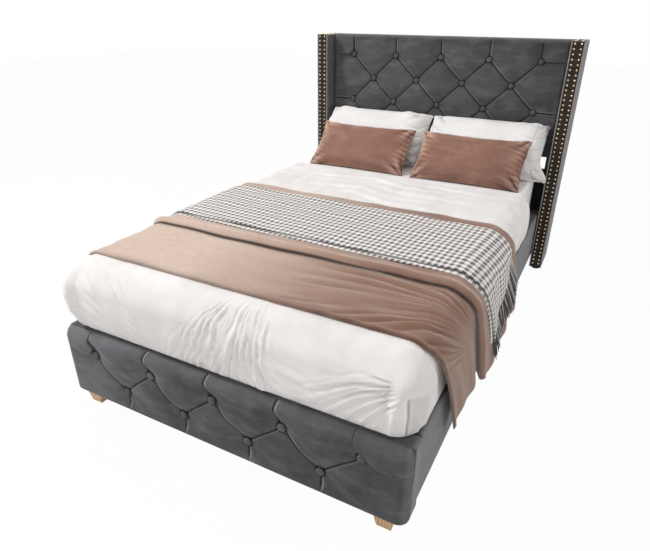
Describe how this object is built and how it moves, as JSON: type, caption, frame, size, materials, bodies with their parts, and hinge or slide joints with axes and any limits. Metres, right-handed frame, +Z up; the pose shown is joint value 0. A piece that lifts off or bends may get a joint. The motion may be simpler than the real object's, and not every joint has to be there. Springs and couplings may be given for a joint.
{
  "type": "upholstered bed",
  "caption": "Upholstered wing bed with diamond-tufted headboard and footboard, slatted base, mattress, duvet, blanket, checked throw, pillows and cushions.",
  "frame": {"origin": "On the floor, under the middle of the bed's overall box.", "axes": "+Y from the footboard to the headboard, +X to the right as seen from the foot of the bed, +Z up."},
  "size_m": [1.45, 2.238, 1.2082],
  "materials": {
    "velvet_dark": "velvet",
    "velvet_grey": "velvet",
    "velvet_brown": "velvet",
    "nail_brass": "polished",
    "plywood": "plain",
    "pine": "plain",
    "oak": "satin",
    "black_cloth": "plain weave",
    "plastic": "matte",
    "steel": "zinc plated",
    "mattress_cloth": "plain weave",
    "cotton": "plain weave",
    "mocha": "soft weave",
    "gingham": "checked weave",
    "rose_velvet": "velvet"
  },
  "bodies": {
    "bed_frame": {"headboard_pad": "velvet_dark", "headboard_top_band": "velvet_dark", "headboard_buttons": "velvet_dark", "headboard_back_board": "plywood", "headboard_top_rail": "pine", "headboard_bottom_rail": "pine", "headboard_stiles": "pine", "headboard_rear_cloth": "black_cloth", "headboard_lower_board": "black_cloth", "wing_board_left": "plywood", "wing_board_right": "plywood", "wing_cover_left": "velvet_dark", "wing_cover_right": "velvet_dark", "wing_band_left": "velvet_brown", "wing_band_right": "velvet_brown", "wing_piping_left": "velvet_grey", "wing_piping_right": "velvet_grey", "wing_nails_left": "nail_brass", "wing_nails_right": "nail_brass", "wing_glides": "plastic", "footboard_pad": "velvet_grey", "footboard_buttons": "velvet_grey", "footboard_board": "plywood", "footboard_cover": "velvet_grey", "rail_board_left": "plywood", "rail_board_right": "plywood", "rail_cover_left": "velvet_grey", "rail_cover_right": "velvet_grey", "slat_ledge_left": "pine", "slat_ledge_right": "pine", "corner_brackets": "steel", "bracket_bolts": "steel", "front_feet": "oak", "foot_bolts": "steel", "centre_beam": "pine", "beam_brackets": "steel", "centre_legs": "pine", "centre_leg_glides": "plastic", "slats": "pine", "slat_screws": "steel"},
    "mattress": {"mattress": "mattress_cloth", "fitted_sheet": "cotton"},
    "duvet": {"duvet": "cotton"},
    "blanket": {"blanket": "mocha"},
    "throw": {"throw": "gingham", "throw_fringe": "gingham"},
    "pillow_left": {"pillow_left": "cotton"},
    "pillow_right": {"pillow_right": "cotton"},
    "cushion_left": {"cushion_left": "rose_velvet"},
    "cushion_right": {"cushion_right": "rose_velvet"}
  },
  "joints": [
    {"name": "mattress_lift", "type": "slide", "parent": "bed_frame", "child": "mattress", "axis": [0, 0, 1], "range_m": [0, 0.3]},
    {"name": "duvet_lift", "type": "slide", "parent": "mattress", "child": "duvet", "axis": [0, 0, 1], "range_m": [0, 0.3]},
    {"name": "blanket_lift", "type": "slide", "parent": "duvet", "child": "blanket", "axis": [0, 0, 1], "range_m": [0, 0.55]},
    {"name": "throw_lift", "type": "slide", "parent": "blanket", "child": "throw", "axis": [0, 0, 1], "range_m": [0, 0.5]},
    {"name": "pillow_left_lift", "type": "slide", "parent": "mattress", "child": "pillow_left", "axis": [0, 0, 1], "range_m": [0, 0.3]},
    {"name": "pillow_right_lift", "type": "slide", "parent": "mattress", "child": "pillow_right", "axis": [0, 0, 1], "range_m": [0, 0.3]},
    {"name": "cushion_left_lift", "type": "slide", "parent": "pillow_left", "child": "cushion_left", "axis": [0, 0, 1], "range_m": [0, 0.3]},
    {"name": "cushion_right_lift", "type": "slide", "parent": "pillow_right", "child": "cushion_right", "axis": [0, 0, 1], "range_m": [0, 0.3]}
  ]
}
